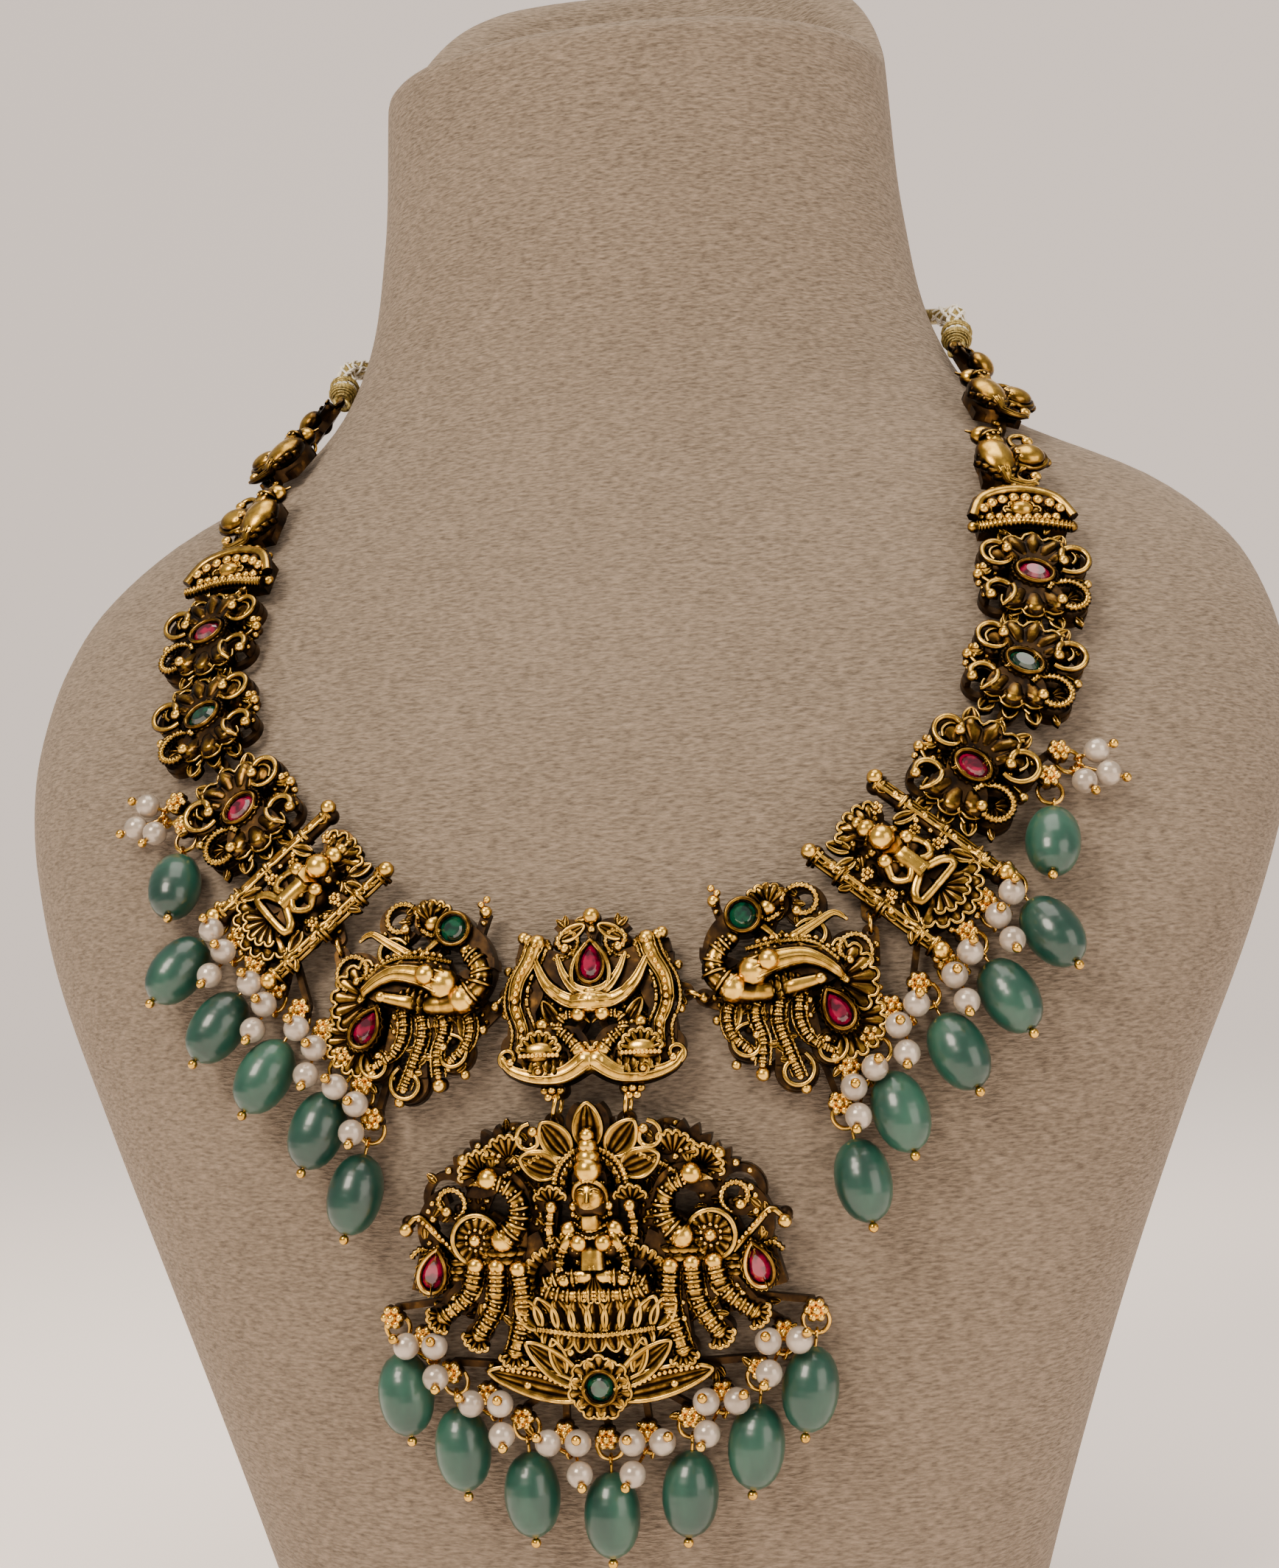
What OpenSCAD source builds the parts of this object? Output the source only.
// Temple jewellery necklace on the plain velvet neck bust that holds it.
// The bust is a stack of rounded sections. Every link is placed on the bust's surface and
// turned to it, with its own axes: X away from the neck, Y along the chain, Z off the velvet.
// The left links are mirror images of the right ones, each set on its own place.

/* [Bust] */
// Height of the front edge of the neck
bust_h = 283; // [265:1:300]
// Width at the shoulders
bust_w = 226; // [210:1:240]
// Depth of the chest
bust_d = 90; // [82:1:98]
// Width of the neck
neck_w = 98; // [90:1:104]
// How much higher the nape is than the front edge of the neck
nape_rise = 33; // [20:1:38]
// Width of the padded rim round the top of the neck
rim_w = 7; // [5:0.5:9]
// Depth of the hollow in the top of the neck
hollow_depth = 5; // [3:0.5:8]

/* [Links] */
// Air between a piece of the necklace and the velvet
seat_gap = 0.3; // [0.2:0.05:0.5]
// Thickness of the cast plates
plate_t = 1.6; // [1.3:0.1:2]
// How far the necklace's lower part hangs to the viewer's right of the bust's middle
drift = 2.4; // [0:0.2:4]
// Thickness of a scroll's wire
scroll_w = 1.1; // [0.9:0.05:1.3]
// Width of the centre link
centre_w = 28; // [26:0.5:28.5]
// Height of the centre link
centre_l = 27; // [25:0.5:28]
// Width of a peacock link
peacock_w = 26; // [24:0.5:26.5]
// Height of a peacock link
peacock_l = 32; // [30:0.5:33]
// Length of a figure link along the chain
figure_l = 17.4; // [16:0.2:17.6]
// Width of a figure link, neck side to outer side
figure_w = 25; // [23:0.5:26]
// Width of a flower link, neck side to outer side
flower_w = 18; // [16:0.5:19]
// Length of a flower link along the chain
flower_l = 17.6; // [16:0.2:17.8]
// Width of a crown link
crown_w = 15; // [13:0.5:16]
// Length of a crown link along the chain
crown_l = 8.6; // [7.6:0.2:9]
// Width of a bird link
bird_w = 11; // [10:0.5:12]
// Length of a bird link along the chain
bird_l = 13; // [11.5:0.5:13.5]
// Length of the end link's body along the chain
end_l = 8; // [7:0.5:9]
// Width of the pendant
pendant_w = 58; // [54:1:60]
// Height of the pendant
pendant_l = 46; // [43:1:47]

/* [Stones] */
// Wall of a stone's bezel
bezel_wall = 0.8; // [0.6:0.05:1]
// Air between a stone and its bezel
stone_gap = 0.12; // [0.1:0.01:0.16]
// Height of a cut stone
stone_h = 1.7; // [1.4:0.1:2]
// Length of a flower link's oval stone
oval_l = 5; // [4.4:0.1:5.4]
// Width of a flower link's oval stone
oval_w = 3.4; // [3:0.1:3.8]
// Length of a teardrop stone
tear_l = 5.2; // [4.6:0.1:5.6]
// Width of a teardrop stone
tear_w = 3.8; // [3.4:0.1:4.2]
// Diameter of a round stone
round_d = 4; // [3.5:0.1:4.4]

/* [Drops] */
// Diameter of a pearl
pearl_d = 4; // [3.6:0.1:4.2]
// Width of a green bead
bead_w = 8.4; // [7.8:0.1:8.7]
// Length of a green bead
bead_l = 12.2; // [11.4:0.1:12.8]
// Diameter of the wire of pins
pin_wire = 0.5; // [0.4:0.05:0.6]
// Diameter of the hole through beads and pearls
bead_hole = 0.8; // [0.7:0.05:1]
// Diameter of the gold ball at the end of a pin
ball_d = 1.5; // [1.2:0.1:1.7]
// Diameter of the wire of jump rings
ring_wire = 0.7; // [0.6:0.05:0.8]
// Outside diameter of a jump ring that holds drops
ring_d = 4.6; // [4.2:0.1:4.8]
// Outside diameter of a ring that joins two links
link_ring_d = 3.6; // [3.4:0.1:3.8]
// Bare wire between a pin's loop and its bead
bead_neck = 1.2; // [1:0.1:1.6]

/* [Cord] */
// Diameter of the thread cord behind the neck
cord_d = 3; // [2.6:0.1:3.4]
// Diameter of the wound thread at the cord's ends
cap_d = 6; // [5.4:0.1:6.4]
// Length of the slide at the nape
slider_l = 9; // [7:0.5:11]

/* [Hidden] */
SIDES = ["left", "right"];
GREEN_SIDE = 6;
GREEN_PENDANT = 7;

gold = "goldenrod";
zari = "#b79a3e";
velvet = "#a89a86";
ruby = "crimson";
emerald = "seagreen";
jade = "mediumseagreen";
cream = "ivory";
$fn = 16;

// The bust. Columns: height as a share of bust_h, half width as a share of half bust_w and of
// half neck_w, front and back as shares of bust_d, and the power that rounds the section.
SECTIONS = [
    [0, 0.53, 0, 0.39, 0.39, 2.4],
    [0.106, 0.61, 0, 0.467, 0.41, 2.5],
    [0.212, 0.70, 0, 0.522, 0.433, 2.6],
    [0.318, 0.805, 0, 0.533, 0.467, 2.65],
    [0.406, 0.903, 0, 0.489, 0.511, 2.6],
    [0.477, 0.969, 0, 0.411, 0.556, 2.4],
    [0.53, 0.996, 0, 0.333, 0.583, 2.3],
    [0.572, 1, 0, 0.256, 0.611, 2.2],
    [0.615, 0.982, 0, 0.183, 0.633, 2.05],
    [0.657, 0.934, 0, 0.111, 0.656, 1.9],
    [0.70, 0.60, 0.514, 0.044, 0.683, 1.8],
    [0.749, 0.25, 0.81, -0.017, 0.711, 1.95],
    [0.813, 0.06, 1.004, -0.067, 0.756, 2],
    [0.901, 0, 1.04, -0.078, 0.789, 2.1],
    [1, 0, 1, -0.067, 0.80, 2.2]];

function column(i, c) = SECTIONS[i][c];
function slope(i, c) = let (a = max(i - 1, 0), b = min(i + 1, len(SECTIONS) - 1))
    (column(b, c) - column(a, c)) / (column(b, 0) - column(a, 0));
// Smooth curve through one column of the table at height share t
function smooth(t, c) = let (
    u = min(max(t, 0), 1),
    i = max([for (k = [0 : len(SECTIONS) - 2]) u >= column(k, 0) ? k : 0]),
    span = column(i + 1, 0) - column(i, 0),
    f = (u - column(i, 0)) / span,
    f2 = f * f, f3 = f2 * f)
    column(i, c) * (2 * f3 - 3 * f2 + 1) + column(i + 1, c) * (3 * f2 - 2 * f3)
    + span * (slope(i, c) * (f3 - 2 * f2 + f) + slope(i + 1, c) * (f3 - f2));

function half_width(t) = bust_w / 2 * smooth(t, 1) + neck_w / 2 * smooth(t, 2);
function mid_y(t) = bust_d * (smooth(t, 4) - smooth(t, 3)) / 2;
function half_depth(t) = bust_d * (smooth(t, 3) + smooth(t, 4)) / 2;
function signed_power(v, p) = sign(v) * pow(abs(v), p);
// How far a point lies out from a section's middle: 1 on the surface
function reach(p) = let (t = p[2] / bust_h, n = smooth(t, 5),
    u = abs(p[0]) / half_width(t), v = abs(p[1] - mid_y(t)) / half_depth(t))
    pow(pow(u, n) + pow(v, n), 1 / n);
// The surface point straight out from the section's middle through p
function seat(p) = let (m = mid_y(p[2] / bust_h), r = reach(p))
    [p[0] / r, m + (p[1] - m) / r, p[2]];
function unit(v) = v / norm(v);
probe = 0.5;
function normal_at(p) = unit([for (a = [[probe, 0, 0], [0, probe, 0], [0, 0, probe]])
    reach(p + a) - reach(p - a)]);
function front(x, z) = let (t = z / bust_h, n = smooth(t, 5), u = min(abs(x) / half_width(t), 0.999))
    [x, mid_y(t) - half_depth(t) * pow(1 - pow(u, n), 1 / n), z];
// A frame on the surface: Z is the normal, Y the wanted direction laid flat on the surface
function frame_at(p, y_dir) = let (n = normal_at(p), y = unit(y_dir - (y_dir * n) * n), x = cross(y, n))
    [[x[0], y[0], n[0], p[0]], [x[1], y[1], n[1], p[1]], [x[2], y[2], n[2], p[2]], [0, 0, 0, 1]];
function place(f, v) = let (q = f * [v[0], v[1], v[2], 1]) [q[0], q[1], q[2]];
function turn(f, v) = let (q = f * [v[0], v[1], v[2], 0]) [q[0], q[1], q[2]];
// A frame at p whose Z is z_dir and whose X is near x_dir
function frame_on(p, z_dir, x_dir) = let (z = unit(z_dir), x = unit(x_dir - (x_dir * z) * z), y = cross(z, x))
    [[x[0], y[0], z[0], p[0]], [x[1], y[1], z[1], p[1]], [x[2], y[2], z[2], p[2]], [0, 0, 0, 1]];

// The chain's chosen places on the right half, from the peacock link up to the thread cap
ROUTE = [[28.8, -44.8, 108.5], [47.2, -38.4, 125.2], [57.8, -31, 139.2], [67.2, -20.8, 155.5],
    [69.7, -10.3, 171.5], [68, -2.4, 183.8], [66.3, 4.6, 194.2], [64.5, 16.6, 207.7],
    [60.6, 28, 219], [57, 33, 227]];
// The cord's chosen places behind the right thread cap, up to the slide at the nape
CORD_HALF = [[54.5, 38, 232.5], [53.5, 44, 235.5], [51.5, 52, 238.5], [48, 59.5, 241], [41, 66, 243],
    [32, 70.8, 244.4], [23, 73.4, 245.2], [14, 74.7, 245.6]];
CORD_MID = [0, 75.3, 245.7];
CENTRE_PLACE = [-0.8, -50, 107.4];
PENDANT_PLACE = [-1.6, -50, 70];
// Where the small flower studs sit: x and z on the right half, and how far their drops fan out
// from straight downhill, in degrees
BEAD_STUDS = [[68.9, 138, 8], [60.9, 123.4, 43], [54.4, 115.2, 40], [47.0, 108.0, 37], [39.8, 100.6, 29], [35.0, 91.6, 23]];
PEARL_STUDS = [[70.8, 141.9, 62], [57.7, 119.3, 42], [50.9, 111.4, 39], [42.9, 104.8, 33], [36.6, 96.6, 26]];
PENDANT_BEADS = [[0, 44.5, 0], [12.4, 47.6, 0], [22.9, 54.4, 0], [31.4, 62.5, 0]];
PENDANT_PEARLS = [[6.2, 45.4, 0], [17.3, 51.2, 0], [26.6, 59.6, 0]];

up = [0, 0, 1];
// The plates' middle height over the velvet, where rings and lugs lie
lug_z = seat_gap + link_ring_d / 2 + 0.2;
plate_z = lug_z - plate_t / 2;
relief_z = plate_z + plate_t;
// The height above which relief may reach over a joint's ring, and where raised shapes start
over_z = lug_z + link_ring_d / 2 + 0.3;
rise_z = plate_z + 0.3;

// The drift fades out up the chain, so the shoulders' links stay even. s is -1 left, 1 right
drift_top = 160;
drift_span = 50;
function drifted(p, s) = [s * p[0] + drift * min(max((drift_top - p[2]) / drift_span, 0), 1), p[1], p[2]];
function link_point(i, s) = seat(drifted(ROUTE[i], s));
function link_y(i, s) = i == 0 ? up : link_point(min(i + 1, len(ROUTE) - 1), s) - link_point(i - 1, s);
function link_frame(i, s) = frame_at(link_point(i, s), link_y(i, s));
centre_frame = frame_at(seat(drifted(CENTRE_PLACE, 1)), up);
pendant_frame = frame_at(seat(drifted(PENDANT_PLACE, 1)), up);
// Turn of the wing stone and neck of a peacock, and of the oval stones
oval_turn = -14;

// Small shapes that the links are built from

module ball(x, y, r, z = relief_z) {
    translate([x, y, z]) sphere(r = r);
}

module post(x, y, r, z0, z1) {
    translate([x, y, z0]) cylinder(r = r, h = z1 - z0);
}

// A flat-topped piece of ring, the CAD form of a scroll of wire
module scroll(x, y, r, from, sweep, z1 = relief_z + 0.8, w = scroll_w) {
    translate([x, y, rise_z]) rotate([0, 0, from])
        rotate_extrude(angle = sweep, $fn = 20) translate([r - w / 2, 0]) square([w, z1 - rise_z]);
}

// A scroll with a hole right through its plate and a ball in its curl
module pierced_scroll(x, y, r, from, sweep) {
    difference() {
        translate([x, y, plate_z]) cylinder(r = r + scroll_w * 0.65, h = plate_t - 0.4);
        translate([x, y, 0]) cylinder(r = r - scroll_w * 0.4, h = relief_z);
    }
    scroll(x, y, r, from, sweep);
    ball(x + (r - scroll_w * 0.75) * cos(from), y + (r - scroll_w * 0.75) * sin(from), scroll_w * 0.75);
}

// A pointed leaf that starts at x, y and runs l long in the direction a
module petal(x, y, a, l, w, z1 = relief_z + 0.6, z0 = rise_z) {
    r = w / 4 + l * l / (4 * w);
    translate([x, y, z0]) rotate([0, 0, a - 90]) linear_extrude(z1 - z0)
        translate([0, l / 2]) intersection() {
            translate([r - w / 2, 0]) circle(r = r, $fn = 32);
            translate([w / 2 - r, 0]) circle(r = r, $fn = 32);
        }
}

// Leaves spread from one place, whose tips meet under a small boss
module fan(x, y, a, step, count, l, w, z1 = relief_z + 0.6, z0 = rise_z) {
    post(x, y, w * 0.22, z0, z1 + 0.12);
    for (k = [0 : count - 1]) petal(x, y, a + (k - (count - 1) / 2) * step, l, w, z1 - 0.05 * (k % 2), z0);
}

module bead_row(x, y, r, from, step, count, size, z = relief_z + 0.3) {
    for (k = [0 : count - 1]) ball(x + r * cos(from + k * step), y + r * sin(from + k * step), size, z);
}

module bar(x0, y0, x1, y1, w, z0, z1) {
    d = norm([x1 - x0, y1 - y0]);
    translate([x0, y0, z0]) rotate([0, 0, atan2(y1 - y0, x1 - x0)])
        translate([0, -w / 2, 0]) cube([d, w, z1 - z0]);
}

// Outlines of stones, pointing along Y: round and oval, or a teardrop
OUTLINE_SIDES = 16;
function oval(l, w) = [for (k = [0 : OUTLINE_SIDES - 1]) let (a = 360 * (k + 0.5) / OUTLINE_SIDES)
    [w / 2 * cos(a), l / 2 * sin(a)]];
function teardrop(l, w) = [for (k = [0 : OUTLINE_SIDES - 1]) let (a = 360 * k / OUTLINE_SIDES)
    [-w / 2 * sin(a) * pow(sin(a / 2), 0.7), l / 2 * cos(a)]];
function outline(kind, l, w) = kind == "tear" ? teardrop(l, w) : oval(l, w);

bezel_floor = over_z + 0.2;
// The room in a bezel that takes its stone
module stone_room(kind, l, w) {
    translate([0, 0, bezel_floor]) linear_extrude(stone_h * 2)
        polygon(outline(kind, l + 2 * stone_gap * (kind == "tear" ? 2.4 : 1), w + 2 * stone_gap));
}

module bezel(kind, l, w) {
    grow = 2 * (bezel_wall + stone_gap);
    difference() {
        translate([0, 0, plate_z]) linear_extrude(bezel_floor + stone_h * 0.75 - plate_z)
            polygon(outline(kind, l + grow * (kind == "tear" ? 1.25 : 1), w + grow));
        stone_room(kind, l, w);
    }
}

// A cut stone: pavilion, girdle, crown of facets and a flat table
module cut_stone(kind, l, w) {
    n = OUTLINE_SIDES;
    rings = [[0.55, 0], [1, 0.42], [1, 0.55], [0.62, 1]];
    pts = [for (r = rings) for (q = outline(kind, l, w))
        [q[0] * r[0], q[1] * r[0], bezel_floor + stone_gap + stone_h * r[1]]];
    sides = [for (k = [0 : len(rings) - 2]) for (i = [0 : n - 1]) let (j = (i + 1) % n)
        [k * n + i, (k + 1) * n + i, (k + 1) * n + j, k * n + j]];
    polyhedron(pts, concat([[for (i = [0 : n - 1]) i]], sides,
        [[for (i = [n - 1 : -1 : 0]) (len(rings) - 1) * n + i]]));
}

// Rings and lugs

module ring(f, mean_r, wire, from = 0, sweep = 360) {
    multmatrix(f) rotate([0, 0, from]) rotate_extrude(angle = sweep, $fn = 20)
        translate([mean_r, 0]) circle(d = wire, $fn = 13);
}

link_ring_r = (link_ring_d - ring_wire) / 2;
lug_r = ring_wire / 2 + 0.95;
lug_h = 0.9;

// Two neighbouring links' joint: its frame lies between their edges, with Y along the chain
function joint_frame(a, b) = let (m = seat((a + b) / 2)) frame_at(m, b - a);
function edge(i, s, x, y) = place(link_frame(i, s), [s * x, y, 0]);
function chain_joint(i, s, la, lb) = joint_frame(edge(i, s, 0, la / 2), edge(i + 1, s, 0, -lb / 2));
function joints(s) = [
    joint_frame(place(centre_frame, [s * centre_w / 2, 1, 0]), edge(0, s, -peacock_w / 2, -1)),
    joint_frame(edge(0, s, peacock_w * 0.47, peacock_l * 0.22), edge(1, s, 0, -figure_l / 2)),
    chain_joint(1, s, figure_l, flower_l), chain_joint(2, s, flower_l, flower_l),
    chain_joint(3, s, flower_l, flower_l), chain_joint(4, s, flower_l, crown_l),
    chain_joint(5, s, crown_l, bird_l), chain_joint(6, s, bird_l, bird_l),
    chain_joint(7, s, bird_l, end_l)];
JOINTS = [joints(-1), joints(1)];
function joint(j, s) = JOINTS[s > 0 ? 1 : 0][j];

// A lug with a hole for the joint's ring. at is -1 for the link before the joint, 1 after it
module lug(j, s, at, back = 5) {
    multmatrix(joint(j, s)) translate([0, at * link_ring_r, lug_z - lug_h / 2]) difference() {
        union() {
            cylinder(r = lug_r, h = lug_h);
            translate([-lug_r, at > 0 ? 0 : -back, 0]) cube([2 * lug_r, back, lug_h]);
        }
        translate([0, 0, -1]) cylinder(r = ring_wire / 2 + 0.25, h = lug_h + 2);
    }
}

// A link: its relief on its frame, with room cut for the joints' rings and its drops' rings, and
// its lugs and studs. drops holds pairs of a stud and where its stem ends on the link
module link(f, s, before, after, back = 5, drops = []) {
    difference() {
        on(f, s) children();
        if (before != undef) pocket(before, s);
        if (after != undef) pocket(after, s);
        for (q = drops) ring_room(q[0]);
    }
    if (before != undef) lug(before, s, 1, back);
    if (after != undef) lug(after, s, -1, back);
    for (q = drops) stud(q[0], place(f, [s * q[1][0], q[1][1], lug_z]));
}

module on(f, s) {
    multmatrix(f) if (s < 0) mirror([1, 0, 0]) children();
    else children();
}

module pocket(j, s) {
    room = [2 * lug_r + 0.5, link_ring_d + 1.2];
    multmatrix(joint(j, s)) translate([-room[0] / 2, -room[1] / 2, 0]) cube([room[0], room[1], over_z - 0.05]);
}

module joint_ring(j, s) {
    ring(joint(j, s) * [[1, 0, 0, 0], [0, 1, 0, 0], [0, 0, 1, lug_z], [0, 0, 0, 1]]
        * [[0, 0, 1, 0], [0, 1, 0, 0], [-1, 0, 0, 0], [0, 0, 0, 1]], link_ring_r, ring_wire);
}

// A drop's frame: origin on the velvet under its stud, Y downhill, X across, Z off the surface
function downhill(p) = let (n = normal_at(p)) unit(n[2] * n - up);
function drop_frame(s) = let (p = front(s[0], s[1]), n = normal_at(p), d = downhill(p),
    y = cos(s[2]) * d - sin(s[2]) * cross(d, n), x = cross(y, n))
    [[x[0], y[0], n[0], p[0]], [x[1], y[1], n[1], p[1]], [x[2], y[2], n[2], p[2]], [0, 0, 0, 1]];
drop_ring_r = (ring_d - ring_wire) / 2;
eye_r = ring_wire / 2 + 0.6;
eye_wire = 0.8;
stud_r = 1.9;

// Room for the ring of a stud in the link behind it
module ring_room(s) {
    side = ring_d / 2 + 0.3;
    multmatrix(drop_frame(s)) translate([-side, -ring_wire / 2 - 0.3, 0])
        cube([2 * side, ring_d + 0.6, lug_z + ring_wire / 2 + 0.2]);
}

// The small cast flower stud with the eye behind it, and the stem back to its link
module stud(s, toward) {
    f = drop_frame(s);
    c = place(f, [0, 0, lug_z]);
    e = place(f, [0, -eye_r - 0.15, lug_z]);
    d = toward - e;
    multmatrix(frame_on(c, turn(f, [1, 0, 0]), turn(f, [0, 1, 0]))) difference() {
        cylinder(r = eye_r + eye_wire / 2, h = eye_wire, center = true);
        cylinder(r = eye_r - eye_wire / 2, h = 2 * eye_wire, center = true);
    }
    multmatrix(f) {
        translate([0, 0, lug_z + eye_r - 0.1]) {
            for (k = [0 : 5]) rotate([0, 0, 60 * k]) translate([stud_r * 0.62, 0, 0])
                cylinder(r = stud_r * 0.38, h = 0.9);
            cylinder(r = stud_r * 0.6, h = 1.2);
        }
    }
    multmatrix(frame_on(e, d, turn(f, [0, 0, 1]))) translate([-0.6, -0.5, 0]) cube([1.2, 1, norm(d)]);
}

// Studs of one side, with the side and the drift applied. The pendant's studs move with it
function hung(studs, s, x = 0) = [for (q = studs) let (p = drifted([q[0], 0, q[1]], s))
    [p[0] + x, p[2], s * q[2]]];
module studs(list, s, f, x, y) {
    for (q = hung(list, s, PENDANT_PLACE[0])) stud(q, place(f, [s * x, y, lug_z]));
}
// Pairs for link(): studs and the shared end of their stems
function held(studs, s, x, y) = [for (q = hung(studs, s)) [q, [x, y]]];

// The links

module flower_art() {
    w = flower_w / 2;
    l = flower_l / 2;
    difference() {
        union() {
            post(0, 0, w * 0.44, plate_z, over_z + 0.6);
            fan(0, l * 0.1, 90, 34, 3, l * 0.9, w * 0.46, over_z + 1.1, over_z);
            fan(0, -l * 0.1, -90, 34, 3, l * 0.9, w * 0.46, over_z + 1.1, over_z);
        }
        rotate([0, 0, oval_turn + 90]) stone_room("oval", oval_l, oval_w);
    }
    rotate([0, 0, oval_turn + 90]) bezel("oval", oval_l, oval_w);
    pierced_scroll(-w * 0.66, l * 0.5, w * 0.28, 300, -290);
    pierced_scroll(-w * 0.62, -l * 0.46, w * 0.28, 300, 280);
    pierced_scroll(w * 0.66, l * 0.46, w * 0.28, 240, 290);
    pierced_scroll(w * 0.62, -l * 0.5, w * 0.31, 180, -290);
    bar(-w * 0.72, l * 0.42, -w * 0.7, -l * 0.36, 1.7, plate_z, relief_z - 0.2);
    bar(w * 0.72, l * 0.36, w * 0.7, -l * 0.42, 1.7, plate_z, relief_z - 0.2);
    bar(-w * 0.9, 0, w * 0.9, 0, 1.2, plate_z, relief_z - 0.3);
    ball(-w * 0.97, -l * 0.02, 0.9, lug_z + 0.6);
    ball(w * 0.95, -l * 0.02, 0.8, lug_z + 0.6);
}

module flower_link(i, s) {
    drops = i > 1 ? [] : concat(held([BEAD_STUDS[0]], s, flower_w * 0.42, flower_l * 0.32),
        held([PEARL_STUDS[0]], s, flower_w * 0.4, flower_l * 0.34));
    link(link_frame(1 + i, s), s, 1 + i, 2 + i, 7, drops) flower_art();
}

module crown_art() {
    w = crown_w / 2;
    bar(-w, -crown_l * 0.1, w, -crown_l * 0.1, crown_l * 0.7, plate_z, over_z);
    scroll(0, -w * 1.25, w * 1.5, 52, 76, over_z + 1, 1.3);
    bead_row(0, -w * 1.25, w * 1.26, 58, 12.8, 6, 0.75, over_z);
    fan(0, crown_l * 0.1, 90, 26, 3, crown_l * 0.38, 2.6, over_z + 0.8);
    for (k = [-1, 1]) {
        ball(k * w * 0.95, -crown_l * 0.28, 0.9);
        ball(k * w * 0.6, crown_l * 0.22, 1.3, over_z + 0.2);
    }
}

module crown_link(s) {
    link(link_frame(5, s), s, 5, 6, 3.5) crown_art();
}

module bird_art() {
    w = bird_w / 2;
    bar(-w * 0.8, 0, w * 0.8, 0, bird_l * 0.66, plate_z, relief_z);
    post(w * 0.38, 0, w * 0.5, plate_z, over_z + 0.6);
    ball(w * 0.38, 0, w * 0.3, over_z + 0.6);
    petal(-w * 0.1, -bird_l * 0.42, 108, bird_l * 0.84, w * 0.85, over_z + 1);
    ball(-w * 0.5, bird_l * 0.3, 1.3, over_z + 0.4);
    ball(w * 0.85, end_l * 0.1, 0.8, relief_z);
}

module bird_link(i, s) {
    link(link_frame(5 + i, s), s, 5 + i, 6 + i, 4) bird_art();
}

end_ring_r = 2;
end_wire = 1.1;
// Middle of the end link's ring, along the link
end_ring_y = end_l * 0.4 + end_ring_r;
module end_link(s) {
    f = link_frame(8, s);
    link(f, s, 8, undef, 3.5) {
        bar(0, -end_l * 0.45, 0, end_l * 0.42, bird_w * 0.42, plate_z, relief_z);
        ball(0, 0, bird_w * 0.2, relief_z);
        ball(bird_w * 0.24, 0, 0.8, relief_z);
    }
    on(f, s) translate([0, end_ring_y, lug_z]) rotate_extrude($fn = 20) translate([end_ring_r, 0])
        circle(d = end_wire, $fn = 13);
}

// The figure lies with its head to the neck and its lotus seat outwards, between two bars
module figure_art() {
    w = figure_w / 2;
    l = figure_l / 2;
    for (p = [[-0.78, 0.3], [-0.45, -0.42], [0.1, 0.5], [0.1, -0.5], [0.62, 0.4], [0.62, -0.42]])
        post(w * p[0], l * p[1], l * 0.3, plate_z, relief_z);
    bar(-w * 0.86, 0, w * 0.96, 0, l * 0.9, plate_z, relief_z);
    bar(-w * 0.3, -l * 0.75, -w * 0.3, l * 0.75, l * 0.28, plate_z, relief_z - 0.2);
    bar(w * 0.5, -l * 0.75, w * 0.5, l * 0.75, l * 0.28, plate_z, relief_z - 0.2);
    // the two node-ringed bars
    for (k = [-1, 1]) translate([0, k * l * 0.84, relief_z + 0.4]) {
        translate([-w * 0.9, 0, 0]) rotate([0, 90, 0]) cylinder(r = 1, h = w * 1.75);
        for (x = [-0.55, 0.05, 0.6]) translate([w * x - 0.4, 0, 0]) rotate([0, 90, 0])
            cylinder(r = 1.35, h = 0.8);
        for (x = [-0.95, 0.92]) translate([w * x, 0, 0]) sphere(r = 1.4);
    }
    // head, crown, shoulders, body, folded legs and the lotus seat
    ball(-w * 0.42, 0, l * 0.3, relief_z + 1.3);
    petal(-w * 0.5, 0, 180, w * 0.42, l * 0.5, relief_z + 2);
    fan(-w * 0.55, 0, 180, 38, 3, w * 0.42, l * 0.4, relief_z + 0.9);
    ball(-w * 0.12, l * 0.26, l * 0.22, relief_z + 1);
    ball(-w * 0.12, -l * 0.26, l * 0.22, relief_z + 1);
    petal(-w * 0.25, 0, 0, w * 0.55, l * 0.66, relief_z + 1.8);
    petal(w * 0.1, l * 0.05, 28, w * 0.5, l * 0.4, relief_z + 1.7);
    petal(w * 0.1, -l * 0.05, -28, w * 0.5, l * 0.4, relief_z + 1.7);
    fan(w * 0.44, l * 0.03, 0, 41, 3, w * 0.5, l * 0.4, relief_z + 1.2);
}

module figure_link(s) {
    link(link_frame(1, s), s, 1, 2, drops = concat(
        held([BEAD_STUDS[1], PEARL_STUDS[1], BEAD_STUDS[2]], s, figure_w * 0.26, figure_l * 0.15),
        held([PEARL_STUDS[2], BEAD_STUDS[3]], s, figure_w * 0.26, -figure_l * 0.3))) figure_art();
}

// Places in a peacock link, as shares of half its width and half its height
PEACOCK_EYE = [-0.52, 0.66];
PEACOCK_TEAR = [0.52, -0.26];
tear_turn = 118;
module peacock_art() {
    w = peacock_w / 2;
    l = peacock_l / 2;
    difference() {
        peacock_body(w, l);
        translate([w * PEACOCK_EYE[0], l * PEACOCK_EYE[1], 0]) stone_room("oval", round_d, round_d);
    }
}

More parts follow.
